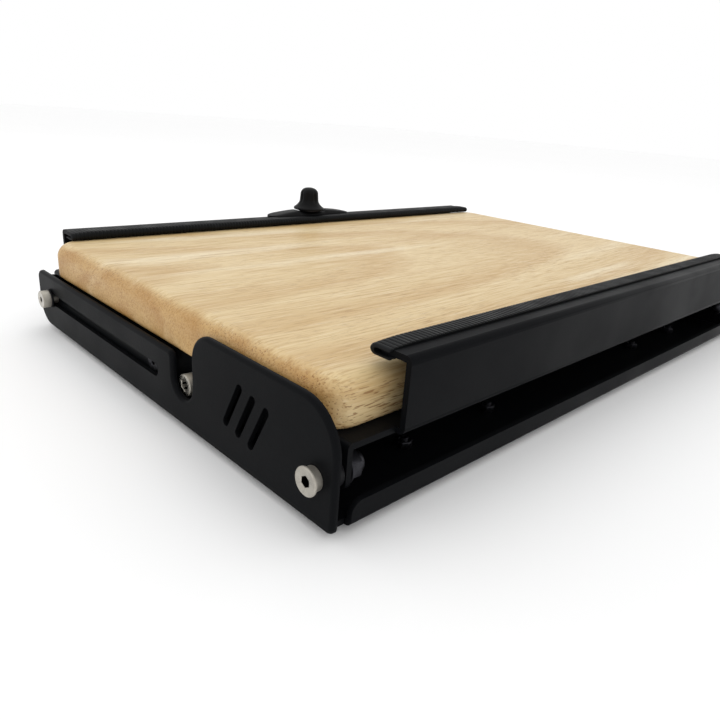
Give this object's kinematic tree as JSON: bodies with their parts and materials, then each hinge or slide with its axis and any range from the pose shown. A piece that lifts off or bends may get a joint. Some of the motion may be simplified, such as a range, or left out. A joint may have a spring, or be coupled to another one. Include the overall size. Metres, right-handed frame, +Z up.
{
  "type": "standing desk converter",
  "caption": "Low tilting desk-top riser: black sheet-metal base tray, front-hinged deck with hardwood board, sliding props, front lip and screw-down rear clamp bar.",
  "frame": {"origin": "middle of the footprint, on the surface that the rubber feet stand on", "axes": "+X along the long side (user's right), -Y towards the user, +Z up"},
  "size_m": [0.4216, 0.2799, 0.0795],
  "materials": {
    "powder_coat": "satin powder coat",
    "hardwood": "oiled pale hardwood",
    "rubber_trim": "ribbed black rubber",
    "rubber_foot": "matte black rubber",
    "stainless": "turned stainless steel",
    "zinc_steel": "zinc plated",
    "black_steel": "black oxide",
    "black_nylon": "matte",
    "black_plastic": "moulded, fine texture"
  },
  "bodies": {
    "base": {"base_tray": "powder_coat", "foot_front_left": "rubber_foot", "foot_rear_left": "rubber_foot", "foot_front_right": "rubber_foot", "foot_rear_right": "rubber_foot", "foot_screws": "black_steel", "foot_nuts": "black_steel", "pivot_screws": "stainless", "pivot_spacers": "black_nylon", "pivot_washers": "black_steel", "pivot_nuts": "black_steel"},
    "deck": {"deck_frame": "powder_coat", "wood_board": "hardwood", "board_screws": "zinc_steel", "front_trim": "rubber_trim", "rest_screws": "stainless", "rest_washers": "zinc_steel", "rest_nuts": "zinc_steel", "weld_nut": "zinc_steel"},
    "prop": {"link_left": "powder_coat", "link_right": "powder_coat", "link_screws": "black_steel", "link_bushes": "black_nylon", "link_washers": "zinc_steel", "link_nuts": "zinc_steel", "slide_screws": "stainless", "slide_washers": "black_nylon", "tie_rod": "zinc_steel"},
    "clamp": {"clamp_bar": "powder_coat", "rear_trim": "rubber_trim", "clamp_saddle": "black_plastic"},
    "knob": {"clamp_knob": "black_plastic", "clamp_stud": "zinc_steel", "stud_collar": "zinc_steel", "knob_washer": "black_steel"}
  },
  "joints": [
    {"name": "deck_tilt", "type": "hinge", "parent": "base", "child": "deck", "pos_m": [0, -0.1297, 0.0215], "axis": [1, 0, 0], "range_deg": [0, 62]},
    {"name": "prop_swing", "type": "hinge", "parent": "deck", "child": "prop", "pos_m": [0, -0.00785, 0.0215], "axis": [1, 0, 0], "range_deg": [-124, 0]},
    {"name": "clamp_lift", "type": "slide", "parent": "deck", "child": "clamp", "axis": [0, 0, 1], "range_m": [0, 0.006]},
    {"name": "knob_turn", "type": "hinge", "parent": "clamp", "child": "knob", "pos_m": [0, 0.1279, 0.07], "axis": [0, 0, 1], "range_deg": [0, 2161]}
  ],
  "couplings": [
    {"joint": "prop_swing", "follows": "deck_tilt", "ratio": -2},
    {"joint": "knob_turn", "follows": "clamp_lift", "rad_per_m": 6283.2}
  ]
}
